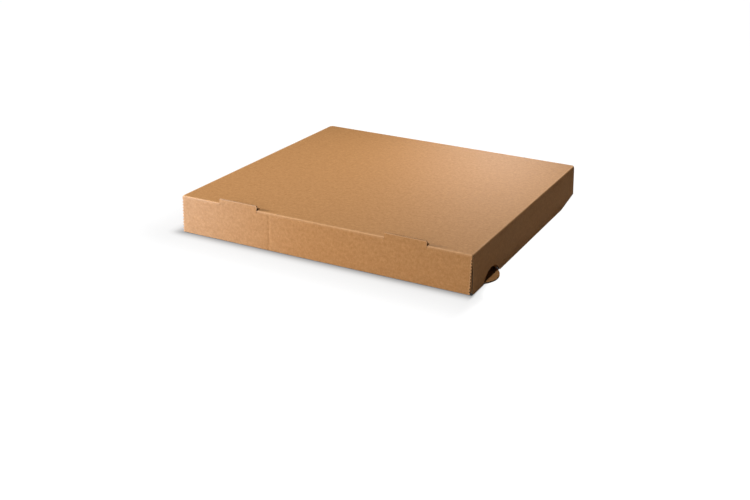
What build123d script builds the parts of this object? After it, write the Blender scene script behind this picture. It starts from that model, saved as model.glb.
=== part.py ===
"""A flat square pizza box, folded from one sheet of E-flute corrugated board and standing closed.

Millimetres. X runs from left to right, Y from front to back and Z up. The origin lies on the floor
under the middle of the box. The tray has its bottom and four walls in one piece. The lid is joined
to the top of the rear wall by a crease, and its front and side flaps hang outside the tray. The
flutes run from left to right in the flat sheet, so the front flap's two ends and the lower edges of
the side flaps cut across them and show them open.
"""
import os
from math import cos, pi, radians, sin

from build123d import *

# Board
board = 1.6  # thickness of the corrugated board
fold_inner = 0.4  # inner radius of a fold
liner = 0.25  # flat paper on each face
medium = 0.25  # waved paper between the liners
flute_pitch = 3.3
flute_depth = 3.0  # how deep an open flute is modelled

# Closed box
width = 336.0  # over the top edges of the lid's side flaps
depth = 336.0  # front flap's face to rear wall's face
height = 42.0  # floor to the lid's top face

# Running gaps
lid_clearance = 0.3  # between the tray's walls and the lid around them
layer_clearance = 0.2  # between layers that are folded against each other
crease_gap = 0.25  # between the two halves of a fold that turns

# Tray
side_wall_drop = 0.6  # lid's underside to the raw top edge of a side wall
corner_flap_length = 58.0
corner_flap_chamfer = 9.0
lock_length = 38.0  # tongues that hold the rolled front wall in the bottom
lock_spacing = 170.0
lock_clearance = 0.3

# Half-moon thumb holes at the foot of the side walls
moon_chord = 46.0
moon_height = 11.0
moon_from_front = 53.0  # front face to the middle of the hole
moon_clearance = 1.0  # lid flap's notch outside the half-moon's own outline

# Lid
tab_length = 46.0  # upstanding tabs on the front fold
tab_height = 5.0
tab_inset = 48.0  # end of the box to the near end of a tab
tab_left_radius = 0.8
tab_right_radius = 1.2
tab_kerf = 0.3  # gap between a tab and the window that it was cut out of
front_flap_lift = 0.6  # floor to the front flap's lower edge
front_flap_corner = 1.5
score_from_left = 109.0  # pressed vertical line across the front flap
score_width = 2.4
score_depth = 0.3

# Lid's side flaps
left_flare = 1.0  # degrees that the flap stands off the vertical
right_flare = 3.5
side_flap_lift = 0.4  # floor to the flap's lower edge
side_flap_setback = 2.2  # rear wall's face to the flap's rear edge
side_flap_front_radius = 3.0
side_flap_bevel_length = 48.0
side_flap_bevel_height = 6.5

# Derived places
fold_outer = fold_inner + board
fold_middle = fold_inner + board / 2
stub = fold_outer + board  # run of board past a crease, before the mitre cut takes it off
overrun = 2 * board  # how far a cut runs past the board
layer_pitch = board + layer_clearance
front_face = -depth / 2
rear_face = depth / 2
side_face = width / 2
top_middle = height - board / 2
tray_side = side_face - board - lid_clearance
wall_top = height - board - lid_clearance
side_wall_top = height - board - side_wall_drop
outer_front_y = front_face + board + lid_clearance + board / 2
corner_front_y = outer_front_y + layer_pitch
inner_front_y = corner_front_y + layer_pitch
corner_rear_y = rear_face - board / 2 - layer_pitch
strip_half_width = tray_side - fold_outer
tab_middle = side_face - tab_inset - tab_length / 2
fold_saving = fold_outer - fold_middle * pi / 4  # flat sheet that lies past its mark, each side of a fold
window_depth = tab_height + 2 * fold_saving + tab_kerf  # the tab's own shape, left open in the lid
moon_y = front_face + moon_from_front
moon_radius = ((moon_chord / 2) ** 2 + moon_height**2) / (2 * moon_height)
moon_drop = moon_radius - moon_height  # chord to the circle's centre
flap_front = front_face + fold_outer
flap_rear = rear_face - side_flap_setback

# Directions along the box's panels, away from the outer corner of a fold, in a section's plane
inwards = Vector(1, 0)
down = Vector(0, -1)


def board_section(*middle):
    """Adds the section of a sheet folded along the polyline of its middle surface."""
    with BuildLine() as path:
        FilletPolyline(*middle, radius=fold_middle)
    trace(path.edges(), line_width=board)


def cut_at_crease(corner, kept, removed):
    """Cuts a section along a fold's mitre line, half a crease gap short, and takes off the removed side.

    corner is the fold's outer corner. kept and removed point along the two panels, away from it.
    """
    along = (kept + removed).normalized() * 2 * stub
    across = (kept - removed).normalized()
    start = Vector(corner) + across * crease_gap / 2
    outside = across * -2 * stub
    with BuildLine() as outline:
        Polyline(start - along, start + along, start + along + outside, start - along + outside, close=True)
    make_face(outline.edges(), mode=Mode.SUBTRACT)


def flute_hollows(start, end, middle):
    """Adds the hollows of the flutes along a cut edge, which runs in the sketch's Y direction.

    Each is a triangle between one liner and the waved paper. middle is the sketch's X at half the board.
    """
    count = int((end - start) / flute_pitch)
    first = (start + end - (count - 1) * flute_pitch) / 2
    half_base = flute_pitch / 2 - medium
    core = board / 2 - liner
    for liner_side, offset, copies in ((1, 0, count), (-1, flute_pitch / 2, count - 1)):
        with Locations(*((middle, first + offset + k * flute_pitch) for k in range(copies))):
            Polygon(
                (liner_side * core, -half_base),
                (liner_side * core, half_base),
                (liner_side * (medium - core), 0),
                align=None,
            )


def down_flap(side):
    """Direction down a side flap, in the XZ plane: side is -1 for the left and 1 for the right."""
    angle = radians(left_flare if side < 0 else right_flare)
    return Vector(side * sin(angle), -cos(angle))


def side_flap_middle(side, drop):
    """Point of a side flap's middle surface, in the XZ plane, this far below the lid's middle surface."""
    outwards, fall = side * down_flap(side).X, -down_flap(side).Y
    from_face = board / 2 * (1 - outwards) / fall
    return (side * (side_face - from_face + drop * outwards / fall), top_middle - drop)


os.makedirs("parts", exist_ok=True)

# Tray
with BuildPart() as tray:
    # One strip from front to back: rolled front wall, bottom, rear wall and its half of the lid's fold
    with BuildSketch(Plane.YZ):
        board_section(
            (inner_front_y, layer_pitch),
            (inner_front_y, wall_top - board / 2),
            (outer_front_y, wall_top - board / 2),
            (outer_front_y, board / 2),
            (rear_face - board / 2, board / 2),
            (rear_face - board / 2, top_middle),
            (rear_face - stub, top_middle),
        )
        cut_at_crease((rear_face, height), kept=down, removed=-inwards)
    extrude(amount=strip_half_width, both=True)

    # One strip from side to side: both side walls and the bottom between them
    with BuildSketch(Plane.XZ.offset(fold_outer - board / 2 - corner_rear_y)):
        board_section(
            (board / 2 - tray_side, side_wall_top),
            (board / 2 - tray_side, board / 2),
            (tray_side - board / 2, board / 2),
            (tray_side - board / 2, side_wall_top),
        )
    extrude(amount=corner_rear_y - corner_front_y + board - 2 * fold_outer)

    # Corner flaps, folded in from both ends of each side wall
    with BuildSketch(Plane.XY.offset(layer_pitch)):
        for side in (-1, 1):
            board_section(
                (side * (tray_side - corner_flap_length), corner_front_y),
                (side * (tray_side - board / 2), corner_front_y),
                (side * (tray_side - board / 2), corner_rear_y),
                (side * (tray_side - corner_flap_length), corner_rear_y),
            )
    extrude(amount=wall_top - board - layer_clearance - layer_pitch)
    flap_ends = tray.edges().filter_by(Axis.Y).filter_by(
        lambda edge: abs(abs(edge.center().X) - (tray_side - corner_flap_length)) < board
    )
    chamfer(flap_ends, corner_flap_chamfer)

    # Tongues of the rolled wall, standing in slots in the bottom
    for x in (-lock_spacing / 2, lock_spacing / 2):
        with BuildSketch(Plane.XY):
            with Locations((x, inner_front_y)):
                Rectangle(lock_length + 2 * lock_clearance, board + 2 * lock_clearance)
        extrude(amount=board, mode=Mode.SUBTRACT)
        with BuildSketch(Plane.XY.offset(lock_clearance)):
            with Locations((x, inner_front_y)):
                Rectangle(lock_length, board)
        extrude(amount=layer_pitch - lock_clearance)

    # Half-moon holes in the side walls, and their tongues left lying in the plane of the bottom
    for side in (-1, 1):
        with BuildSketch(Plane.YZ.offset(side * strip_half_width)):
            with Locations((moon_y, -moon_drop)):
                Circle(moon_radius)
            with Locations((moon_y, 0)):
                Rectangle(moon_chord, 2 * moon_height, align=(Align.CENTER, Align.MIN), mode=Mode.INTERSECT)
        extrude(amount=side * (fold_outer + overrun), mode=Mode.SUBTRACT)
        with BuildSketch(Plane.XY):
            with Locations((side * (tray_side - moon_drop), moon_y)):
                Circle(moon_radius)
            with Locations((side * (strip_half_width + moon_height), moon_y)):
                Rectangle(2 * moon_height, moon_chord, mode=Mode.INTERSECT)
        extrude(amount=board)

# Lid panel: its own halves of the four folds around it, and the open windows behind the two tabs
with BuildPart() as lid_panel:
    with BuildSketch(Plane.YZ):
        board_section(
            (front_face + board / 2, top_middle - stub),
            (front_face + board / 2, top_middle),
            (rear_face - board / 2, top_middle),
            (rear_face - board / 2, top_middle - stub),
        )
        cut_at_crease((front_face, height), kept=inwards, removed=down)
        cut_at_crease((rear_face, height), kept=-inwards, removed=down)
    extrude(amount=side_face - fold_outer, both=True)
    with BuildSketch(Plane.XZ):
        board_section(
            side_flap_middle(-1, stub),
            side_flap_middle(-1, 0),
            side_flap_middle(1, 0),
            side_flap_middle(1, stub),
        )
        for side in (-1, 1):
            cut_at_crease((side * side_face, height), kept=inwards * -side, removed=down_flap(side))
    extrude(amount=rear_face - fold_outer, both=True)
    for x in (-tab_middle, tab_middle):
        with BuildSketch(Plane.XY.offset(height - stub)) as window:
            with Locations((x, front_face)):
                Rectangle(tab_length + 2 * tab_kerf, 2 * window_depth)
            fillet(window.vertices().group_by(Axis.Y)[-1].sort_by(Axis.X)[0], tab_left_radius)
            fillet(window.vertices().group_by(Axis.X)[-1].sort_by(Axis.Y)[-1], tab_right_radius)
        extrude(amount=2 * stub, mode=Mode.SUBTRACT)

# Front flap, with its two upstanding tabs and the pressed score line
with BuildPart() as front_flap:
    with BuildSketch(Plane.YZ):
        board_section(
            (front_face + board / 2, front_flap_lift),
            (front_face + board / 2, top_middle),
            (front_face + stub, top_middle),
        )
        cut_at_crease((front_face, height), kept=down, removed=inwards)
    extrude(amount=side_face, both=True)
    fillet(front_flap.edges().filter_by(Axis.Y).group_by(Axis.Z)[0], front_flap_corner)
    for x in (-tab_middle, tab_middle):
        with BuildSketch(Plane.XZ.offset(-front_face + overrun)):
            with Locations((x, height)):
                Rectangle(tab_length + 2 * tab_kerf, 2 * fold_outer)
        extrude(amount=-2 * stub - overrun, mode=Mode.SUBTRACT)
        with BuildSketch(Plane.XZ.offset(-front_face)) as tab:
            with Locations((x, height - fold_outer)):
                Rectangle(tab_length, fold_outer + tab_height, align=(Align.CENTER, Align.MIN))
            fillet(tab.vertices().group_by(Axis.Y)[-1].sort_by(Axis.X)[0], tab_left_radius)
            fillet(tab.vertices().group_by(Axis.X)[-1].sort_by(Axis.Y)[-1], tab_right_radius)
        extrude(amount=-board)
    with BuildSketch(Plane.XZ.offset(-front_face)):
        with Locations((score_from_left - side_face, height / 2)):
            Rectangle(score_width, height - 2 * fold_outer)
    extrude(amount=-score_depth, mode=Mode.SUBTRACT)
    for x in (-side_face, side_face - flute_depth):
        with BuildSketch(Plane.YZ.offset(x)):
            flute_hollows(front_flap_lift + front_flap_corner, height - fold_outer, front_face + board / 2)
        extrude(amount=flute_depth, mode=Mode.SUBTRACT)


def side_flap(side):
    """Returns the builder of one side flap: side is -1 for the left and 1 for the right."""
    with BuildPart() as flap:
        with BuildSketch(Plane.XZ.offset(-flap_rear)):
            board_section(
                (side * (side_face - stub), top_middle),
                side_flap_middle(side, 0),
                side_flap_middle(side, top_middle - side_flap_lift),
            )
            cut_at_crease((side * side_face, height), kept=down_flap(side), removed=inwards * -side)
        extrude(amount=flap_rear - flap_front)
        with BuildSketch(Plane.YZ.offset(side * (side_face - stub))) as outline:
            with BuildLine():
                Polyline(
                    (flap_front, height + overrun),
                    (flap_front, side_flap_lift),
                    (flap_rear - side_flap_bevel_length, side_flap_lift),
                    (flap_rear, side_flap_lift + side_flap_bevel_height),
                    (flap_rear, height + overrun),
                    close=True,
                )
            make_face()
            fillet(outline.vertices().group_by(Axis.Y)[0].sort_by(Axis.X)[0], side_flap_front_radius)
            with Locations((moon_y, -moon_drop)):
                Circle(moon_radius + moon_clearance, mode=Mode.SUBTRACT)
        extrude(amount=side * (2 * stub + height), mode=Mode.INTERSECT)

        # Flutes, open along the lower edge and as deep behind the notch and the bevel
        foot_x, foot_z = side_flap_middle(side, top_middle)
        up_flap = -down_flap(side)
        across = Plane(
            (foot_x, 0, foot_z),
            x_dir=(side * up_flap.Y, 0, -side * up_flap.X),
            z_dir=(up_flap.X, 0, up_flap.Y),
        )
        with BuildPart(mode=Mode.SUBTRACT):
            with BuildSketch(across):
                flute_hollows(*sorted((side * flap_front, side * flap_rear)), 0)
            extrude(amount=height / 2)
            with BuildSketch(Plane.YZ.offset(side * (side_face - stub))):
                with BuildLine():
                    Polyline(
                        (flap_front - overrun, height),
                        (flap_front - overrun, side_flap_lift + flute_depth),
                        (flap_rear - side_flap_bevel_length, side_flap_lift + flute_depth),
                        (flap_rear, side_flap_lift + side_flap_bevel_height + flute_depth),
                        (flap_rear + overrun, height),
                        close=True,
                    )
                make_face()
                with Locations((moon_y, -moon_drop)):
                    Circle(moon_radius + moon_clearance + flute_depth, mode=Mode.SUBTRACT)
            extrude(amount=side * (2 * stub + height), mode=Mode.SUBTRACT)
    return flap


left_flap = side_flap(-1)
right_flap = side_flap(1)

for name, piece in (
    ("tray", tray),
    ("lid_panel", lid_panel),
    ("front_flap", front_flap),
    ("left_flap", left_flap),
    ("right_flap", right_flap),
):
    piece.part.label = name
    export_step(piece.part, f"parts/{name}.step")
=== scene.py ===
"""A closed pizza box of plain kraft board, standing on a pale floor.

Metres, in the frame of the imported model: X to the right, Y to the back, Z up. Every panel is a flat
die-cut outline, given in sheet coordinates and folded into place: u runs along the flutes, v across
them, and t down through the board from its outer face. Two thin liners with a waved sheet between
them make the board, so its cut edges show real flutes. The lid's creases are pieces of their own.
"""
from collections import namedtuple
from math import acos, asin, atan2, ceil, cos, pi, radians, sin, sqrt, tan

import bmesh
import bpy
from mathutils import Matrix, Vector


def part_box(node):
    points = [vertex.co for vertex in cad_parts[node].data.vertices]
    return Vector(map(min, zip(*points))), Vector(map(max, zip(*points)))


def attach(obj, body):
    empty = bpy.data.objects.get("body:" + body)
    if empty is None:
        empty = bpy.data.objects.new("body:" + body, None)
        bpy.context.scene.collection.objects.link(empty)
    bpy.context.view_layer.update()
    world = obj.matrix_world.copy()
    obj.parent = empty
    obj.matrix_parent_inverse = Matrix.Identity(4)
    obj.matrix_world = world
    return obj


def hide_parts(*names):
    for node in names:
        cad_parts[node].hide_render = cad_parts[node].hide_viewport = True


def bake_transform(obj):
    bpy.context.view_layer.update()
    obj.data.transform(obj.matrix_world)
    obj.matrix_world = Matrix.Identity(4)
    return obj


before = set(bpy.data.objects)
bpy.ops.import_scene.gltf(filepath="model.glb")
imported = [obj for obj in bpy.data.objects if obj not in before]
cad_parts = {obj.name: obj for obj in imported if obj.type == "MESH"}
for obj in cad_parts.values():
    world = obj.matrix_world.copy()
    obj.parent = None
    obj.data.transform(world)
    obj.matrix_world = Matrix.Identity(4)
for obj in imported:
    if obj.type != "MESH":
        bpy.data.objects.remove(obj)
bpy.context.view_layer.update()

# Board
board = 0.0016
fold_inner = 0.0004  # radius on the inside of a square fold
fold_outer = fold_inner + board
fold_middle = fold_inner + board / 2
liner = 0.00023  # thickness of each flat liner
medium = 0.00016  # thickness of the waved sheet between them
pitch = 0.0033  # one flute to the next
wave_steps = 8  # facets to a flute
arc_steps = 6  # facets to a right angle of fold
crease_reach = 0.001  # flat board that a crease piece takes on each side of its fold
sharp_angle = radians(32)  # facets that meet at more than this keep a crisp edge
on_liner, on_medium, on_edge = 0, 1, 2  # which paper a face shows

# How finely the panels are divided, so that they can follow their bends
lid_step = 0.012  # along the lid, its flaps and its creases
front_flap_step = 0.006  # up the front flap
side_flap_step = 0.008  # down the side flaps
tray_step = 0.024  # along the tray's panels
wall_step = 0.01  # up the side walls
lid_wave_step = 0.04  # along the lid's flutes
tray_wave_step = 0.08  # along the bottom's flutes

# Width of the rim that keeps its waved sheet. Inside it, where nobody can look, there is none.
lid_rim_side = 0.016
lid_rim_front = 0.008  # behind the windows
lid_rim_rear = 0.010
tray_rim_side = 0.014
tray_rim_end = 0.02

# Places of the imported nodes
front_low, front_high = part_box("front_flap")
right_low, right_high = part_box("right_flap")
side_face = front_high.x
front_face = front_low.y
rear_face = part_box("tray")[1].y
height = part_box("lid_panel")[1].z
flap_front = right_low.y
flap_rear = right_high.y

# Gaps and small sizes of the tray
lid_clearance = 0.0003
layer_gap = 0.0002
side_wall_gap = 0.0006  # from the top of a side wall to the lid
layer_pitch = board + layer_gap
lock_tip = 0.0003  # tongues' tips above the floor
tray_side = side_face - board - lid_clearance
strip_side = tray_side - fold_outer
wall_top = height - board - lid_clearance
side_wall_top = height - board - side_wall_gap
corner_flap_top = wall_top - layer_pitch
outer_front_y = front_face + board + lid_clearance + board / 2
corner_front_y = outer_front_y + layer_pitch
inner_front_y = corner_front_y + layer_pitch
corner_rear_y = rear_face - board / 2 - layer_pitch
corner_flap_length = 0.058
corner_flap_chamfer = 0.009
lock_length = 0.038
lock_spacing = 0.170

# Half-moon thumb holes
moon_y = front_face + 0.053
moon_half = 0.023
moon_height = 0.011
moon_radius = (moon_half**2 + moon_height**2) / (2 * moon_height)
moon_drop = moon_radius - moon_height
notch_growth = 0.001  # by this much a side flap's notch is larger than the hole behind it
notch_radius = moon_radius + notch_growth

# Lid
tab_middle = 0.097
tab_half = 0.023
tab_top = front_high.z
tab_left_radius = 0.0008
tab_right_radius = 0.0012
window_gap = 0.0003
window_half = tab_half + window_gap
fold_saving = fold_outer - fold_middle * pi / 4
window_rear = front_face + tab_top - height + 2 * fold_saving + window_gap
flap_low = front_low.z
flap_corner = 0.0015
score_x = 0.109 - side_face
score_half = 0.0024
score_depth = 0.0002
corner_short = 0.0004  # how far the front and rear creases stop before the box's corners
corner_reach = side_face - corner_short

# Side flaps
flares = {-1: radians(1), 1: radians(3.5)}
side_flap_low = 0.0004
side_flap_radius = 0.003
held_in = 0.0003  # how far a side flap's lower front corner is bent back towards the tray
held_length = 0.045
bevel_length = 0.048
bevel_height = 0.0065

# Creases: a crushed fold has a smaller outer radius than a square fold of the tray
crease_radius = 0.0011
# paler outer face along each fold: partly real wear of stretched fibres, partly a painted highlight on the
# fold's bright line
crease_wear_and_highlight = 0.5
crease_steps = 10  # facets across a crease
corner_steps = 4  # divisions in a crease's rounded end


def crease_run(angle):
    """From a fold's corner line to where its crease piece ends, at the outer and the inner face."""
    run = fold_outer / tan(angle / 2) + crease_reach
    return run, run + board / tan(angle / 2)


def crease_length(angle):
    """Length of a crease piece's outer face across the fold."""
    flat = crease_run(angle)[0] - crease_radius / tan(angle / 2)
    return 2 * flat + crease_radius * (pi - angle)


square_run = crease_run(pi / 2)[0]

# A stretch of a path: where along it the stretch begins, its length, first point, direction and turn
Part = namedtuple("Part", "begin length start ahead turn")


class Path:
    """The middle of a folded sheet: straight runs and round folds in one plane, measured along it."""

    def __init__(self, points, radius=fold_middle):
        points = [Vector(p) for p in points]
        self.parts = []  # straight runs and folds by turns; turn is 0 on a straight run
        self.length = 0
        here = points[0]
        for i in range(1, len(points)):
            ahead = (points[i] - points[i - 1]).normalized()
            turn, cut = 0, 0
            if i < len(points) - 1:
                after = (points[i + 1] - points[i]).normalized()
                turn = atan2(ahead.x * after.y - ahead.y * after.x, ahead.dot(after))
                cut = radius * tan(abs(turn) / 2)
            end = points[i] - ahead * cut
            self.add((end - here).length, here, ahead, 0)
            if turn:
                self.add(radius * abs(turn), end, ahead, turn)
                end = points[i] + after * cut
            here = end

    def add(self, length, start, ahead, turn):
        self.parts.append(Part(self.length, length, start, ahead, turn))
        self.length += length

    def at(self, s, t=board / 2):
        """The place at this length and this depth below the outer face, which lies to the right."""
        part = self.parts[0]
        for candidate in self.parts:
            if candidate.begin <= s:
                part = candidate
        begin, length, start, ahead, turn = part
        left = Vector((-ahead.y, ahead.x))
        if not turn:
            return start + ahead * (s - begin) - left * (board / 2 - t)
        centre = start + left * (length / turn)
        angle = turn * (s - begin) / length
        outward = (start - centre) - left * (board / 2 - t)
        return centre + Matrix.Rotation(angle, 2) @ outward

    def rows(self):
        """The lengths at which the sheet has to be divided to follow its folds."""
        found = []
        for part in self.parts:
            steps = max(1, ceil(arc_steps * abs(part.turn) / (pi / 2)))
            found += [part.begin + part.length * k / steps for k in range(steps + 1)]
        return found


def arc(centre, radius, start, end, steps=8):
    """Points of an arc, from one angle to another, in degrees."""
    angles = (radians(start + (end - start) * k / steps) for k in range(steps + 1))
    return [(centre[0] + radius * cos(a), centre[1] + radius * sin(a)) for a in angles]


def spread(low, high, step):
    """Evenly spaced values between two ends, without the ends."""
    count = max(1, round((high - low) / step))
    return [low + (high - low) * k / count for k in range(1, count)]


def divided(outline, rows, columns, holes):
    """A flat mesh of an outline, divided along rows of v and columns of u, with rectangles left out.

    Returns its points, its faces, and the edges of its rim.
    """
    bm = bmesh.new()
    bm.faces.new([bm.verts.new((u, v, 0)) for u, v in outline])
    cuts = [((0, v, 0), (0, 1, 0)) for v in rows] + [((u, 0, 0), (1, 0, 0)) for u in columns]
    for place, normal in cuts:
        parts = bm.verts[:] + bm.edges[:] + bm.faces[:]
        bmesh.ops.bisect_plane(bm, geom=parts, dist=1e-7, plane_co=place, plane_no=normal)
    for face in list(bm.faces):
        middle = face.calc_center_median()
        if any(low[0] < middle.x < high[0] and low[1] < middle.y < high[1] for low, high in holes):
            bm.faces.remove(face)
    for edge in [e for e in bm.edges if not e.link_faces]:
        bm.edges.remove(edge)
    for vertex in [v for v in bm.verts if not v.link_faces]:
        bm.verts.remove(vertex)
    bmesh.ops.recalc_face_normals(bm, faces=bm.faces[:])
    if sum(face.normal.z for face in bm.faces) < 0:
        bmesh.ops.reverse_faces(bm, faces=bm.faces[:])
    bm.verts.index_update()
    points = [(v.co.x, v.co.y) for v in bm.verts]
    faces = [[v.index for v in face.verts] for face in bm.faces]
    rim = []
    for face in bm.faces:
        for loop in face.loops:
            if len(loop.edge.link_faces) == 1:
                rim.append((loop.vert.index, loop.link_loop_next.vert.index))
    bm.free()
    return points, faces, rim


def runs(outline, v, gaps):
    """The stretches of u that lie inside the outline at this v, less the gaps."""
    crossings = []
    for (u0, v0), (u1, v1) in zip(outline, outline[1:] + outline[:1]):
        if (v0 <= v) != (v1 <= v):
            crossings.append(u0 + (u1 - u0) * (v - v0) / (v1 - v0))
    crossings.sort()
    found = list(zip(crossings[::2], crossings[1::2]))
    for (u0, v0), (u1, v1) in gaps:
        if v0 < v < v1:
            left = []
            for low, high in found:
                left += [(low, min(high, u0)), (max(low, u1), high)]
            found = [(low, high) for low, high in left if high - low > 1e-6]
    return found


class Sheet:
    """Gathers the liners and the waved sheet of one piece, then makes its object."""

    def __init__(self, name, place, drawn=lambda u, v: (u, v)):
        self.name = name
        self.place = place
        self.drawn = drawn  # turns the panel's own coordinates into those of the unfolded blank
        self.points = []
        self.flat = []
        self.wear_and_highlight = []
        self.faces = []
        self.looks = []
        self.known = {}

    def point(self, u, v, t, wear_and_highlight=0.0):
        """The number of the point at this place, which is made once."""
        key = (round(u * 1e6), round(v * 1e6), round(t * 1e7))
        if key not in self.known:
            self.known[key] = len(self.points)
            self.points.append(self.place(u, v, t))
            self.flat.append((*self.drawn(u, v), t))
            self.wear_and_highlight.append(wear_and_highlight)
        return self.known[key]

    def face(self, corners, look):
        """Adds a face, less the corners that fall together."""
        kept = [c for i, c in enumerate(corners) if c != corners[i - 1]]
        if len(set(kept)) > 2:
            self.faces.append(kept)
            self.looks.append(look)

    def liner(self, outline, rows, columns, top, bottom, holes=(), painted_highlight=lambda u, v: 0.0):
        """One flat layer, from top to bottom in depth."""
        points, faces, rim = divided(outline, rows, columns, holes)
        upper = [self.point(u, v, top, painted_highlight(u, v)) for u, v in points]
        lower = [self.point(u, v, bottom, painted_highlight(u, v)) for u, v in points]
        for face in faces:
            self.face([upper[i] for i in face], on_liner)
            self.face([lower[i] for i in reversed(face)], on_liner)
        for a, b in rim:
            self.face([upper[b], upper[a], lower[a], lower[b]], on_edge)
        self.known = {}

    def waves(self, outline, columns, gaps=()):
        """The waved sheet inside the outline, a hair short of its edges across the flutes."""
        low = min(v for u, v in outline)
        high = max(v for u, v in outline)
        count = round((high - low) / pitch * wave_steps)
        rise = board / 2 - liner - medium / 2
        before = None
        for k in range(count + 1):
            v = low + (high - low) * (k + 0.5) / (count + 1)
            middle = board / 2 + rise * cos(2 * pi * v / pitch)
            now = []
            for start, end in runs(outline, v, gaps):
                stops = [start] + [min(max(u, start), end) for u in columns] + [end]
                faces = (middle - medium / 2, middle + medium / 2)
                now.append([[self.point(u, v, t) for u in stops] for t in faces])
            if before and len(before) == len(now):
                for (top0, low0), (top1, low1) in zip(before, now):
                    for i in range(len(top0) - 1):
                        self.face([top0[i], top0[i + 1], top1[i + 1], top1[i]], on_medium)
                        self.face([low0[i], low1[i], low1[i + 1], low0[i + 1]], on_medium)
                    self.face([top0[0], top1[0], low1[0], low0[0]], on_medium)
                    self.face([top0[-1], low0[-1], low1[-1], top1[-1]], on_medium)
            before = now
        self.known = {}

    def finish(self):
        """Makes the object, with its place on the blank and its wear and painted highlight as attributes."""
        mesh = bpy.data.meshes.new(self.name)
        mesh.from_pydata([tuple(p) for p in self.points], [], self.faces)
        for material in (liner_paper, medium_paper_and_shade, edge_paper):
            mesh.materials.append(material)
        mesh.polygons.foreach_set("material_index", self.looks)
        sheet = mesh.attributes.new("sheet", "FLOAT_VECTOR", "POINT")
        sheet.data.foreach_set("vector", [x for p in self.flat for x in p])
        wear_and_highlight = mesh.attributes.new("wear_and_highlight", "FLOAT", "POINT")
        wear_and_highlight.data.foreach_set("value", self.wear_and_highlight)
        mesh.polygons.foreach_set("use_smooth", [True] * len(mesh.polygons))
        bm = bmesh.new()
        bm.from_mesh(mesh)
        bmesh.ops.recalc_face_normals(bm, faces=bm.faces[:])
        bm.to_mesh(mesh)
        bm.free()
        mesh.set_sharp_from_angle(angle=sharp_angle)
        piece = bpy.data.objects.new(self.name, mesh)
        bpy.context.collection.objects.link(piece)
        return piece


# Papers
def new_material(name):
    """A material, its node tree and its shader."""
    material = bpy.data.materials.new(name)
    material.use_nodes = True
    tree = material.node_tree
    shader = tree.nodes["Principled BSDF"]
    return material, tree, shader


def add_node(tree, kind, **values):
    """A node with the given inputs or settings."""
    node = tree.nodes.new(kind)
    for key, value in values.items():
        if key in node.inputs:
            node.inputs[key].default_value = value
        else:
            setattr(node, key, value)
    return node


def noise_node(tree, vector, scale, detail, roughness):
    """Noise at each place."""
    node = tree.nodes.new("ShaderNodeTexNoise")
    node.inputs["Scale"].default_value = scale
    node.inputs["Detail"].default_value = detail
    node.inputs["Roughness"].default_value = roughness
    tree.links.new(vector, node.inputs["Vector"])
    return node.outputs["Fac"]


def ramp(tree, factor, stops):
    """A colour for each value of the factor, between stops of a place and a colour."""
    node = tree.nodes.new("ShaderNodeValToRGB")
    elements = node.color_ramp.elements
    while len(elements) < len(stops):
        elements.new(0.5)
    for element, (place, colour) in zip(elements, stops):
        element.position = place
        element.color = (*colour, 1)
    tree.links.new(factor, node.inputs["Fac"])
    return node.outputs["Color"]


def blend_colours(tree, kind, amount, first, second):
    """The second colour laid over the first; each value is a socket or a constant."""
    node = tree.nodes.new("ShaderNodeMix")
    node.data_type = "RGBA"
    node.blend_type = kind
    sockets = [i for i in node.inputs if i.enabled]
    by_name = {i.name: i for i in sockets}
    for socket, value in ((by_name["Factor"], amount), (by_name["A"], first), (by_name["B"], second)):
        if isinstance(value, bpy.types.NodeSocket):
            tree.links.new(value, socket)
        elif isinstance(value, (int, float)):
            socket.default_value = value
        else:
            socket.default_value = (*value, 1)
    return [o for o in node.outputs if o.enabled][0]


def math_node(tree, operation, *values):
    """The result of one calculation; each value is a socket or a constant."""
    node = tree.nodes.new("ShaderNodeMath")
    node.operation = operation
    for socket, value in zip(node.inputs, values):
        if isinstance(value, bpy.types.NodeSocket):
            tree.links.new(value, socket)
        else:
            socket.default_value = value
    return node.outputs[0]


def scaled(tree, vector, scale):
    """The vector, with each of its axes multiplied."""
    node = tree.nodes.new("ShaderNodeVectorMath")
    node.operation = "MULTIPLY"
    tree.links.new(vector, node.inputs[0])
    node.inputs[1].default_value = scale
    return node.outputs[0]


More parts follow.
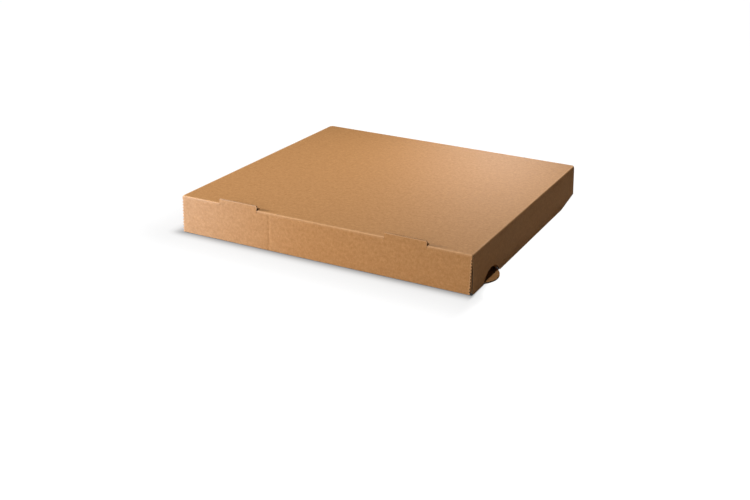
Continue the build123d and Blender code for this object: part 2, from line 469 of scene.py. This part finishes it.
def kraft(name, tint, wear_and_highlight_colour, wear_and_highlight_amount, rough):
    """Kraft paper: cloudy pulp, fibres along the web, dark and pale flecks, and a faint washboard."""
    material, tree, shader = new_material(name)
    sheet = add_node(tree, "ShaderNodeAttribute", attribute_name="sheet").outputs["Vector"]
    wear_and_highlight = add_node(tree, "ShaderNodeAttribute", attribute_name="wear_and_highlight").outputs["Fac"]
    along_fibres = scaled(tree, sheet, (1500, 260, 900))
    along_long_fibres = scaled(tree, sheet, (520, 90, 300))
    along_flecks = scaled(tree, sheet, (900, 420, 600))
    clouds = noise_node(tree, sheet, scale=120, detail=3, roughness=0.6)
    pulp = noise_node(tree, sheet, scale=300, detail=4, roughness=0.7)
    fibres = noise_node(tree, along_fibres, scale=1, detail=3, roughness=0.6)
    long_fibres = noise_node(tree, along_long_fibres, scale=1, detail=2, roughness=0.5)
    flecks = noise_node(tree, along_flecks, scale=1, detail=1, roughness=0.4)
    darker, paler = 0.86, 1.12  # flecks and long fibres against the paper's tint
    dark = tuple(c * darker for c in tint)
    light = tuple(min(1, c * paler) for c in tint)
    cloudy = ramp(tree, clouds, [(0.30, (0.96, 0.945, 0.91)), (0.70, (1.04, 1.055, 1.09))])
    colour = blend_colours(tree, "MULTIPLY", 1.0, tint, cloudy)
    shade = ramp(tree, pulp, [(0.30, (0.86, 0.81, 0.70)), (0.70, (1.11, 1.17, 1.28))])
    colour = blend_colours(tree, "MULTIPLY", 1.0, colour, shade)
    streak = ramp(tree, fibres, [(0.32, (0.93, 0.90, 0.84)), (0.68, (1.06, 1.10, 1.17))])
    colour = blend_colours(tree, "MULTIPLY", 0.8, colour, streak)
    fleck_amount = ramp(tree, flecks, [(0.66, (0, 0, 0)), (0.74, (0.45,) * 3)])
    colour = blend_colours(tree, "MIX", fleck_amount, colour, dark)
    fibre_amount = ramp(tree, long_fibres, [(0.62, (0, 0, 0)), (0.76, (0.5,) * 3)])
    colour = blend_colours(tree, "MIX", fibre_amount, colour, light)
    # pales the paper where its points are marked: real wear on the folds, and a painted highlight on folds,
    # cut edges and tabs
    colour = blend_colours(tree, "MIX", math_node(tree, "MULTIPLY", wear_and_highlight, wear_and_highlight_amount), colour, wear_and_highlight_colour)
    tree.links.new(colour, shader.inputs["Base Color"])
    shader.inputs["Roughness"].default_value = rough
    shader.inputs["Specular IOR Level"].default_value = 0.5
    across = add_node(tree, "ShaderNodeSeparateXYZ")
    tree.links.new(sheet, across.inputs[0])
    ridges = math_node(tree, "COSINE", math_node(tree, "MULTIPLY", across.outputs["Y"], 2 * pi / pitch))
    ridge_rise, fibre_rise = 0.10, 0.6  # against the pulp's own relief
    relief = math_node(tree, "ADD", math_node(tree, "MULTIPLY", ridges, ridge_rise), pulp)
    relief = math_node(tree, "ADD", relief, math_node(tree, "MULTIPLY", fibres, fibre_rise))
    bump = add_node(tree, "ShaderNodeBump", Strength=0.25, Distance=0.00008)
    tree.links.new(relief, bump.inputs["Height"])
    tree.links.new(bump.outputs["Normal"], shader.inputs["Normal"])
    return material


liner_paper = kraft("kraft_liner", (0.50, 0.237, 0.077), (0.72, 0.42, 0.21), 0.8, rough=0.62)
# the waved sheet is tinted very dark: partly its own darker fluting paper, partly painted shade for the
# hollows between the flutes
medium_paper_and_shade = kraft("kraft_medium_and_painted_shade", (0.13, 0.06, 0.022), (0.20, 0.11, 0.05), 0.2, rough=0.85)
edge_paper = kraft("kraft_cut_edge", (0.66, 0.41, 0.22), (0.74, 0.50, 0.31), 0.5, rough=0.85)


def ride(piece, body, *nodes):
    """Puts a piece on its body, and in the place of the named nodes."""
    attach(piece, body)
    if nodes:
        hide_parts(*nodes)


# Lid panel
lid_bow = 0.0006  # how far the middle of the lid stands up


def lid_place(u, v, t):
    """The lid bows up a little in the middle, and not at all along its edges."""
    across = max(0, 1 - (u / (side_face - square_run)) ** 2)
    along = max(0, 1 - (v / (rear_face - square_run)) ** 2)
    return Vector((u, v, height - t + lid_bow * (across * along) ** 2))


def lid_outline(face):
    """The lid between its creases, at its outer face, 0, or its inner one, 1."""
    reach = crease_run(pi / 2)[face]
    left = crease_run(pi / 2 + flares[-1])[face] - side_face
    right = side_face - crease_run(pi / 2 + flares[1])[face]
    front = front_face + reach
    points = [(left, front)]
    for middle in (-tab_middle, tab_middle):
        low, high = middle - window_half, middle + window_half
        points.append((low, front))
        points += arc((low + tab_left_radius, window_rear - tab_left_radius), tab_left_radius, 180, 90, 4)
        points += arc((high - tab_right_radius, window_rear - tab_right_radius), tab_right_radius, 90, 0, 6)
        points.append((high, front))
    return points + [(right, front), (right, rear_face - reach), (left, rear_face - reach)]


def make_lid():
    sheet = Sheet("lid_board", lid_place)
    inner = lid_outline(1)
    rows = spread(front_face, rear_face, lid_step)
    sheet.liner(lid_outline(0), rows, rows, 0, liner)
    sheet.liner(inner, rows, rows, board - liner, board)
    rim = side_face - lid_rim_side
    hollow = ((-rim, window_rear + lid_rim_front), (rim, rear_face - lid_rim_rear))
    sheet.waves(inner, spread(-side_face, side_face, lid_wave_step), [hollow])
    return sheet.finish()


# Front flap
frayed = 0.0012  # how far the outer liner has drawn back between flutes at the flap's two ends
highlight_width = 0.0012  # width of the pale band painted beside a cut end and along a tab's edge, a painted highlight where the edge catches the light
# how strongly the painted highlight pales the flap's two ends
end_highlight = 0.4
wave_short = frayed / 3  # how far the waved sheet stops before the flap's two ends
fray_steps = 8  # points on the frayed end to a flute
score_steps = 6  # divisions on each side of the score line's middle


def front_place(u, v, t):
    """The flap hangs plumb, and its score line is pressed in, less and less through the board."""
    press = 0
    if abs(u - score_x) < score_half:
        press = score_depth * (1 + cos(pi * (u - score_x) / score_half)) / 2
    return Vector((u, front_face + t + press * (1 - t / board), v))


def front_drawn(u, v):
    """On the blank the flap follows on from the lid and its crease."""
    return u, v - height + 2 * square_run + front_face - crease_length(pi / 2)


def front_painted_highlight(u, v):
    """Painted highlight along the flap's two ends and the top and right end of each tab, where their cut
    edges catch the light.
    """
    painted_highlight = end_highlight * (1 - (side_face - frayed - abs(u)) / highlight_width)
    for middle in (-tab_middle, tab_middle):
        if v > height - fold_outer and abs(u - middle) < window_half:
            painted_highlight = 1 - min(middle + tab_half - u, tab_top - v) / highlight_width
    return min(1, max(0, painted_highlight))


def frayed_end(top):
    """The right end of the outer liner, from top to bottom: it holds on where a flute backs it."""
    low, high = flap_low + flap_corner, top - pitch / 2
    count = round((high - low) / (pitch / fray_steps))
    heights = [high + (low - high) * k / count for k in range(count + 1)]
    return [(side_face - frayed * (1 + cos(2 * pi * v / pitch)) / 2, v) for v in heights]


def front_outline(top, short=0, end_points=()):
    """The flap below its crease, with its tabs.

    short is how far it stops before the box's corners. end_points make its right end, from top to
    bottom, and mirrored its left one.
    """
    end = side_face - short
    points = arc((-end + flap_corner, flap_low + flap_corner), flap_corner, 270, 180, 4)
    points += [(-u, v) for u, v in reversed(end_points)]
    points.append((-end, top))
    for middle in (-tab_middle, tab_middle):
        low, high = middle - tab_half, middle + tab_half
        points.append((low, top))
        points += arc((low + tab_left_radius, tab_top - tab_left_radius), tab_left_radius, 180, 90, 4)
        points += arc((high - tab_right_radius, tab_top - tab_right_radius), tab_right_radius, 90, 0, 6)
        points.append((high, top))
    points.append((end, top))
    points += end_points
    return points + arc((end - flap_corner, flap_low + flap_corner), flap_corner, 0, -90, 4)


def make_front_flap():
    sheet = Sheet("front_flap_board", front_place, front_drawn)
    top = height - square_run
    rows = spread(0, height, front_flap_step) + [tab_top - highlight_width]
    columns = spread(-side_face, side_face, lid_step)
    columns += [score_x + score_half * k / score_steps for k in range(-score_steps, score_steps + 1)]
    columns += [side * (side_face - frayed - highlight_width) for side in (-1, 1)]
    columns += [side * tab_middle + tab_half - highlight_width for side in (-1, 1)]
    sheet.liner(front_outline(top, 0, frayed_end(top)), rows, columns, 0, liner, painted_highlight=front_painted_highlight)
    sheet.liner(front_outline(top - board), rows, columns, board - liner, board)
    waved = front_outline(top - board, wave_short)
    sheet.waves(waved, [score_x - score_half, score_x, score_x + score_half])
    return sheet.finish()


# Side flaps
def side_place(side):
    """A side flap leans out by its flare, with its lower front corner bent back a little."""
    flare = flares[side]
    slope = Vector((side * sin(flare), 0, -cos(flare)))
    inward = Vector((-side * cos(flare), 0, -sin(flare)))
    corner = Vector((side * side_face, 0, height))
    run = crease_run(pi / 2 + flare)[0]

    def place(u, v, t):
        near = min(1, max(0, 1 - (v - flap_front) / held_length))
        bend = held_in * near * near * (3 - 2 * near) * max(0, u - run) / (height - run)
        return corner + slope * u + inward * (t + bend) + Vector((0, v, 0))

    return place


def notch_half():
    """Half the angle of the notch's arc above a side flap's lower edge, in degrees."""
    return acos((moon_drop + side_flap_low) / notch_radius) * 180 / pi


def side_outline(side, top):
    """A side flap's outline: u is the distance down from the lid's corner line, and v is Y."""

    def drop(z):
        return (height - z) / cos(flares[side])

    low = drop(side_flap_low)
    radius = side_flap_radius
    points = [(top, flap_front)]
    points += [(drop(z), y) for y, z in arc((flap_front + radius, side_flap_low + radius), radius, 180, 270)]
    half = notch_half()
    points += [
        (drop(z), y) for y, z in arc((moon_y, -moon_drop), notch_radius, 90 + half, 90 - half, 16)
    ]
    points.append((low, flap_rear - bevel_length))
    points.append((drop(side_flap_low + bevel_height), flap_rear))
    points.append((top, flap_rear))
    return points


def make_side_flap(name, side):
    angle = pi / 2 + flares[side]
    outer, inner = crease_run(angle)

    def drawn(u, v):
        return side * (side_face + crease_length(angle) - 2 * outer + u), v

    sheet = Sheet(name, side_place(side), drawn)
    columns = spread(0, height, side_flap_step)
    rows = spread(flap_front, flap_rear, lid_step)
    sheet.liner(side_outline(side, outer), rows, columns, 0, liner)
    sheet.liner(side_outline(side, inner), rows, columns, board - liner, board)
    sheet.waves(side_outline(side, inner), [])
    return sheet.finish()


# Tray: the strip from front to back
tray_path = Path([
    (inner_front_y, lock_tip),
    (inner_front_y, wall_top - board / 2),
    (outer_front_y, wall_top - board / 2),
    (outer_front_y, board / 2),
    (rear_face - board / 2, board / 2),
    (rear_face - board / 2, height - board / 2),
])
bottom_run = tray_path.parts[6]
rear_run = tray_path.parts[8]


def tray_place(u, v, t):
    y, z = tray_path.at(v, t)
    return Vector((u, y, z))


def floor_v(y):
    """Length along the strip of a place on the bottom."""
    return bottom_run.begin + y - bottom_run.start.x


def rear_v(z):
    """Length along the strip of a place on the rear wall."""
    return rear_run.begin + z - rear_run.start.y


def strip_outline(top):
    """The strip with its two locking tongues at the front end and a half-moon tongue on each side."""
    shoulder = layer_pitch - lock_tip
    end = rear_v(top)
    first, last = floor_v(moon_y - moon_half), floor_v(moon_y + moon_half)
    centre = tray_side - moon_drop
    turn = asin(moon_half / moon_radius) * 180 / pi
    right = [(strip_side, first)]
    right += arc((centre, floor_v(moon_y)), moon_radius, -turn, turn, 16)
    right.append((strip_side, last))
    points = [(-strip_side, shoulder)]
    for x in (-lock_spacing / 2, lock_spacing / 2):
        low, high = x - lock_length / 2, x + lock_length / 2
        points += [(low, shoulder), (low, 0), (high, 0), (high, shoulder)]
    points += [(strip_side, shoulder)] + right + [(strip_side, end), (-strip_side, end)]
    return points + [(-u, v) for u, v in reversed(right)]


def make_tray_strip():
    sheet = Sheet("tray_board", tray_place)
    top = height - square_run
    rows = tray_path.rows() + spread(floor_v(front_face), floor_v(rear_face), tray_step)
    slot_v = floor_v(inner_front_y)
    half_v = board / 2 + lid_clearance
    rows += [slot_v - half_v, slot_v + half_v]
    slots = []
    columns = spread(-side_face, side_face, tray_step)
    for x in (-lock_spacing / 2, lock_spacing / 2):
        low, high = x - lock_length / 2 - lid_clearance, x + lock_length / 2 + lid_clearance
        columns += [low, high]
        slots.append(((low, slot_v - half_v), (high, slot_v + half_v)))
    sheet.liner(strip_outline(top), rows, columns, 0, liner, slots)
    sheet.liner(strip_outline(top - board), rows, columns, board - liner, board, slots)
    rim = strip_side - tray_rim_side
    first, last = floor_v(front_face + tray_rim_end), floor_v(rear_face - tray_rim_end)
    gaps = slots + [((-rim, first), (rim, last))]
    sheet.waves(strip_outline(top - board), spread(-side_face, side_face, tray_wave_step), gaps)
    return sheet.finish()


# Tray: a side wall with its two corner flaps
profile = Path([
    (strip_side, board / 2),
    (tray_side - board / 2, board / 2),
    (tray_side - board / 2, side_wall_top),
])
corner_path = Path([
    (tray_side - corner_flap_length, corner_front_y),
    (tray_side - board / 2, corner_front_y),
    (tray_side - board / 2, corner_rear_y),
    (tray_side - corner_flap_length, corner_rear_y),
])
wall_run = corner_path.parts[2]
wall_end = wall_run.begin + wall_run.length
fold_rise = profile.parts[2].begin


def wall_place(side):
    """The sheet follows the profile over its middle run, and the corner folds beyond it."""

    def place(u, v, t):
        x, z = profile.at(u, t)
        if wall_run.begin <= v <= wall_end:
            y = corner_path.at(v, t).y
        else:
            x, y = corner_path.at(v, t)
        return Vector((side * x, y, z))

    return place


def wall_u(z):
    """Length up the side wall's profile of a place at this height."""
    if z > fold_outer:
        return fold_rise + z - fold_outer
    return fold_rise * max(0, z) / fold_outer


def wall_v(y):
    """Length along the side wall of a place at this Y."""
    return wall_run.begin + y - wall_run.start.y


def wall_outline():
    """A side wall with the strip under it, its thumb hole, and a corner flap at each end."""
    first, last = wall_run.begin, wall_end
    top, step = wall_u(side_wall_top), wall_u(corner_flap_top)
    cut = corner_flap_chamfer
    end = corner_path.length
    half = acos(moon_drop / moon_radius) * 180 / pi
    hole = arc((moon_y, -moon_drop), moon_radius, 90 + half, 90 - half, 20)
    points = [(0, first)] + [(wall_u(z), wall_v(y)) for y, z in hole] + [(0, last), (fold_rise, last)]
    points += [(fold_rise, end - cut), (fold_rise + cut, end), (step - cut, end), (step, end - cut)]
    points += [(step, last), (top, last), (top, first), (step, first), (step, cut), (step - cut, 0)]
    return points + [(fold_rise + cut, 0), (fold_rise, cut), (fold_rise, first)]


def make_tray_wall(name, side):
    sheet = Sheet(name, wall_place(side))
    rows = corner_path.rows() + spread(wall_v(front_face), wall_v(rear_face), tray_step)
    columns = profile.rows() + spread(fold_rise, profile.length, wall_step)
    outline = wall_outline()
    sheet.liner(outline, rows, columns, 0, liner)
    sheet.liner(outline, rows, columns, board - liner, board)
    sheet.waves(outline, profile.rows())
    return sheet.finish()


# Creases
def make_crease(name, corner, first, second, spans, place, drawn):
    """A folded strip where two panels meet.

    corner is the fold's outer corner in its own plane. first and second point from it along the two
    panels. spans are the stretches along the fold. place turns a place in the plane into one in space,
    and drawn turns a place along the fold and a length across it into the blank's coordinates.
    """
    corner, first, second = Vector(corner), Vector(first).normalized(), Vector(second).normalized()
    angle = first.angle(second)
    run, inner_run = crease_run(angle)
    full = crease_length(angle)
    leg = 0.01  # long enough for the fold's round part
    right_side = first.x * second.y - first.y * second.x < 0

    def folded(radius, depth, reach):
        """Points across the fold on a face this far below the outer one, from one panel to the other."""
        inside = (first + second).normalized() * (board / 2 / sin(angle / 2))
        middle = [corner + inside + first * leg, corner + inside, corner + inside + second * leg]
        path = Path(middle, radius)
        fold = path.parts[1]
        t = depth if right_side else board - depth
        across = [(inside - way * inside.dot(way)).normalized() * depth for way in (first, second)]
        found = [corner + first * reach + across[0]]
        for k in range(crease_steps + 1):
            found.append(path.at(fold.begin + fold.length * k / crease_steps, t))
        return found + [corner + second * reach + across[1]]

    outer_points = folded(crease_radius - board / 2, 0, run)
    inner_points = folded(fold_middle, board, inner_run)
    flat = run - crease_radius / tan(angle / 2)
    bent = [flat + (full - 2 * flat) * k / crease_steps for k in range(crease_steps + 1)]
    lengths = [0] + bent + [full]
    sheet = Sheet(name, None)
    count = len(outer_points)
    for low, high in spans:
        stations = [low] + spread(low, high, lid_step) + [high]
        rounded = [fold_outer * k / corner_steps for k in range(1, corner_steps + 1)]
        if abs(low) > side_face - fold_outer:
            stations[1:1] = [low + over for over in rounded]
        if abs(high) > side_face - fold_outer:
            stations[-1:-1] = [high - over for over in reversed(rounded)]
        grid = []
        for u in stations:
            ring = []
            for i, p in enumerate(outer_points):
                share = lengths[i] / full
                sheet.points.append(place(u, p, share))
                sheet.flat.append((*drawn(u, lengths[i]), 0))
                # the fold's pale band, wear and painted highlight, strongest in the middle of the bend
                sheet.wear_and_highlight.append(crease_wear_and_highlight * sin(pi * share**0.75) ** 3)
                ring.append(len(sheet.points) - 1)
            for i, p in reversed(list(enumerate(inner_points))):
                share = lengths[i] / full
                sheet.points.append(place(u, p, share))
                sheet.flat.append((*drawn(u, lengths[i]), board))
                sheet.wear_and_highlight.append(0.0)
                ring.append(len(sheet.points) - 1)
            grid.append(ring)
        size = len(grid[0])
        for before, now in zip(grid, grid[1:]):
            for i in range(size):
                j = (i + 1) % size
                sheet.face([before[i], before[j], now[j], now[i]], on_liner)
        for ring in (grid[0], grid[-1]):
            for i in range(count - 1):
                sheet.face([ring[i], ring[i + 1], ring[size - 2 - i], ring[size - 1 - i]], on_edge)
    piece = sheet.finish()
    start = place(0, corner + first * run, 0)
    end = place(0, corner + second * run, 1)
    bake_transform(piece)
    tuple(start)
    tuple(end)
    return piece


def corner_drop(u):
    """How far the box's corner falls away towards its end, as round as the side folds."""
    over = abs(u) - (side_face - fold_outer)
    if over <= 0:
        return 0
    return fold_outer - sqrt(max(0, fold_outer**2 - over**2))


def front_crease_place(u, p, share):
    return Vector((u, p.x, p.y - corner_drop(u) * (1 - share)))


def rear_crease_place(u, p, share):
    """The rear crease narrows to the rear wall's width on its way down."""
    narrowing = 1 - share * (1 - strip_side / corner_reach)
    return Vector((u * narrowing, p.x, p.y - corner_drop(u) * (1 - share)))


def make_creases():
    low, high = tab_middle - window_half, tab_middle + window_half
    spans = [(-corner_reach, -high), (-low, low), (high, corner_reach)]
    make_crease(
        "front_crease", (front_face, height), (1, 0), (0, -1),
        spans, front_crease_place, lambda u, s: (u, front_face + square_run - s),
    )
    make_crease(
        "rear_crease", (rear_face, height), (-1, 0), (0, -1),
        [(-corner_reach, corner_reach)], rear_crease_place, lambda u, s: (u, rear_face - square_run + s),
    )
    for name, body, side in (("left_crease", "left_flap", -1), ("right_crease", "right_flap", 1)):
        flare = flares[side]
        start = side_face - crease_run(pi / 2 + flare)[0]

        def place(u, p, share):
            return Vector((p.x, u, p.y))

        def drawn(u, s, side=side, start=start):
            return side * (start + s), u

        make_crease(
            name, (side * side_face, height), (-side, 0), (side * sin(flare), -cos(flare)),
            [(front_face + square_run, rear_face - square_run)], place, drawn,
        )


ride(make_lid(), "lid", "lid_panel")
ride(make_front_flap(), "front_flap", "front_flap")
ride(make_side_flap("left_flap_board", -1), "left_flap", "left_flap")
ride(make_side_flap("right_flap_board", 1), "right_flap", "right_flap")
ride(make_tray_strip(), "tray", "tray")
ride(make_tray_wall("left_wall_board", -1), "tray")
ride(make_tray_wall("right_wall_board", 1), "tray")
make_creases()


# Camera, at the photograph's viewing angle
picture_width = 750
focal_length = 1084.6  # in pixels of the photograph
sensor_width = 36
eye = Vector((0.49912, -1.07255, 0.42843))
right_of_view = Vector((0.89551, 0.44397, 0.03095))
down_of_view = Vector((0.191, -0.32057, -0.92777))
forward = Vector((-0.40198, 0.83673, -0.37187))
camera_data = bpy.data.cameras.new("camera")
camera_data.sensor_width = sensor_width
camera_data.lens = focal_length / picture_width * sensor_width
camera = bpy.data.objects.new("camera", camera_data)
turned = Matrix((right_of_view, -down_of_view, -forward)).transposed()
camera.matrix_world = Matrix.Translation(eye) @ turned.to_4x4()
bpy.context.collection.objects.link(camera)
bpy.context.scene.camera = camera


# Floor and light
def aimed(data, name, place, target):
    """Hangs a lamp at a place, turned to its target."""
    lamp = bpy.data.objects.new(name, data)
    lamp.location = place
    lamp.rotation_euler = (Vector(target) - Vector(place)).to_track_quat("-Z", "Y").to_euler()
    bpy.context.collection.objects.link(lamp)


def area_light(name, place, target, size, power):
    """A rectangular lamp."""
    data = bpy.data.lights.new(name, "AREA")
    data.shape = "RECTANGLE"
    data.size, data.size_y = size
    data.energy = power
    aimed(data, name, place, target)


def spot_light(name, place, target, angle, power, radius, colour=(1, 1, 1)):
    """A spot with a soft edge all the way in; its angle is in degrees."""
    data = bpy.data.lights.new(name, "SPOT")
    data.spot_size = radians(angle)
    data.spot_blend = 1.0
    data.energy = power
    data.shadow_soft_size = radius
    data.color = colour
    aimed(data, name, place, target)


def seen_and_cast(tree, kind, seen, cast):
    """Two shaders of one kind: what the camera sees, and what lights the box."""
    nodes = []
    for colour in (cast, seen):
        node = tree.nodes.new(kind)
        node.inputs["Color"].default_value = (*colour, 1)
        nodes.append(node)
    mix = tree.nodes.new("ShaderNodeMixShader")
    tree.links.new(tree.nodes.new("ShaderNodeLightPath").outputs["Is Camera Ray"], mix.inputs[0])
    tree.links.new(nodes[0].outputs[0], mix.inputs[1])
    tree.links.new(nodes[1].outputs[0], mix.inputs[2])
    return mix, nodes


painted_shade_reach = 0.078  # how far the floor's painted shade runs out in front of the box
under_reach = 0.002  # and how far the painted shade goes on darkening under the box
rear_fade = 3  # how many times sooner it ends behind the box than in front
left_fade = 0.8  # the same for the left
right_fade = (4.5, 30)  # the same for the right, at its front corner and at most
right_fade_rise = 340  # what each metre further back adds to it
foot_out = 0.0018  # how far out the painted shade's edge is moved to follow the spread right flap
foot_return = 0.12  # how steeply it comes back in behind the thumb hole
foot_return_start = 0.07  # behind the front face
foot_return_run = 0.04


def floor_distance(tree):
    """Distance from the box's foot, scaled on each side so that one ramp of painted shade serves them all.
    """

    def calc(operation, *values):
        return math_node(tree, operation, *values)

    parts = tree.nodes.new("ShaderNodeSeparateXYZ")
    tree.links.new(tree.nodes.new("ShaderNodeTexCoord").outputs["Object"], parts.inputs[0])
    x, y = parts.outputs["X"], parts.outputs["Y"]
    ahead = calc("SUBTRACT", front_face, y)
    behind = calc("MULTIPLY", calc("SUBTRACT", y, rear_face), rear_fade)
    beyond = calc("MAXIMUM", ahead, behind)
    along = calc("MAXIMUM", calc("SUBTRACT", y, front_face), 0)
    steep = calc("ADD", calc("MULTIPLY", along, right_fade_rise), right_fade[0])
    steep = calc("MINIMUM", steep, right_fade[1])
    past_hole = calc("MAXIMUM", calc("SUBTRACT", along, foot_return_start), 0)
    sooner = calc("MULTIPLY", calc("MINIMUM", past_hole, foot_return_run), foot_return)
    foot = calc("SUBTRACT", side_face + foot_out, sooner)
    right = calc("MULTIPLY", calc("SUBTRACT", x, foot), steep)
    left = calc("MULTIPLY", calc("ADD", x, side_face), -left_fade)
    aside = calc("MAXIMUM", left, right)
    inside = calc("MAXIMUM", calc("MAXIMUM", beyond, aside), -under_reach)
    inside = calc("MINIMUM", inside, 0)
    squares = [calc("POWER", calc("MAXIMUM", part, 0), 2) for part in (beyond, aside)]
    outside = calc("SQRT", calc("ADD", *squares))
    return calc("ADD", outside, inside)


def make_floor():
    """A white card that gives the box only a little light back, with a soft shade painted around its foot.
    """
    half = 6.0
    level = -0.0002
    mesh = bpy.data.meshes.new("floor")
    corners = [(-half, -half, level), (half, -half, level), (half, half, level), (-half, half, level)]
    mesh.from_pydata(corners, [], [(0, 1, 2, 3)])
    floor = bpy.data.objects.new("floor", mesh)
    bpy.context.collection.objects.link(floor)
    material, tree, shader = new_material("floor_card")
    mix, nodes = seen_and_cast(tree, "ShaderNodeBsdfDiffuse", (0.12, 0.12, 0.12), (0.52, 0.45, 0.36))
    painted_shade_glow = tree.nodes.new("ShaderNodeEmission")
    away = floor_distance(tree)
    # painted shade: the floor's glow at each distance from the box's foot, darkest under it
    stops = [(-under_reach, 0.03), (0, 0.33), (0.003, 0.42), (0.006, 0.53), (0.010, 0.69)]
    stops += [(0.015, 0.78), (0.022, 0.795), (0.030, 0.815), (0.042, 0.85), (0.056, 0.90)]
    stops.append((painted_shade_reach, 1))
    whole = under_reach + painted_shade_reach
    stops = [((distance + under_reach) / whole, (shade,) * 3) for distance, shade in stops]
    share = math_node(tree, "DIVIDE", math_node(tree, "ADD", away, under_reach), whole)
    tree.links.new(ramp(tree, share, stops), painted_shade_glow.inputs["Color"])
    lit = tree.nodes.new("ShaderNodeAddShader")
    tree.links.new(nodes[1].outputs[0], lit.inputs[0])
    tree.links.new(painted_shade_glow.outputs[0], lit.inputs[1])
    tree.links.new(lit.outputs[0], mix.inputs[2])
    tree.links.new(mix.outputs[0], tree.nodes["Material Output"].inputs["Surface"])
    tree.nodes.remove(shader)
    mesh.materials.append(material)


def make_world():
    """A white surround that lights the box only faintly."""
    world = bpy.data.worlds.new("studio")
    world.use_nodes = True
    tree = world.node_tree
    mix, nodes = seen_and_cast(tree, "ShaderNodeBackground", (1, 1, 1), (0.042, 0.038, 0.032))
    tree.links.new(mix.outputs[0], tree.nodes["World Output"].inputs["Surface"])
    bpy.context.scene.world = world


make_floor()
make_world()
bpy.context.scene.view_settings.view_transform = "Standard"
area_light("key", (-0.80, -0.456, 0.266), (-0.05, -0.16, 0.04), size=(0.08, 0.08), power=9.2)
area_light("fill", (-0.25, -1.9, 0.40), (0, 0, 0.03), size=(1.0, 0.6), power=11.0)
area_light("overhead", (0.15, -0.05, 1.6), (0.1, -0.05, 0), size=(0.12, 0.12), power=8.0)
spot_light("sheen", (-0.33, 1.3, 0.50), (0.085, 0.19, 0.042), angle=13, power=17.0, radius=0.1)
spot_light("pool", (-0.25, 0.3, 1.2), (0.06, 0.14, 0.042), angle=21, power=18.0, radius=0.1)
spot_light("wide_pool", (-0.25, 0.3, 1.2), (-0.02, 0.02, 0.042), angle=34, power=21.5, radius=0.1)
spot_light(
    "cool", (-0.9, -0.75, 0.04), (-0.28, -0.168, 0.02), angle=21, power=46.0, radius=0.03,
    colour=(0.17, 0.44, 1.0),
)
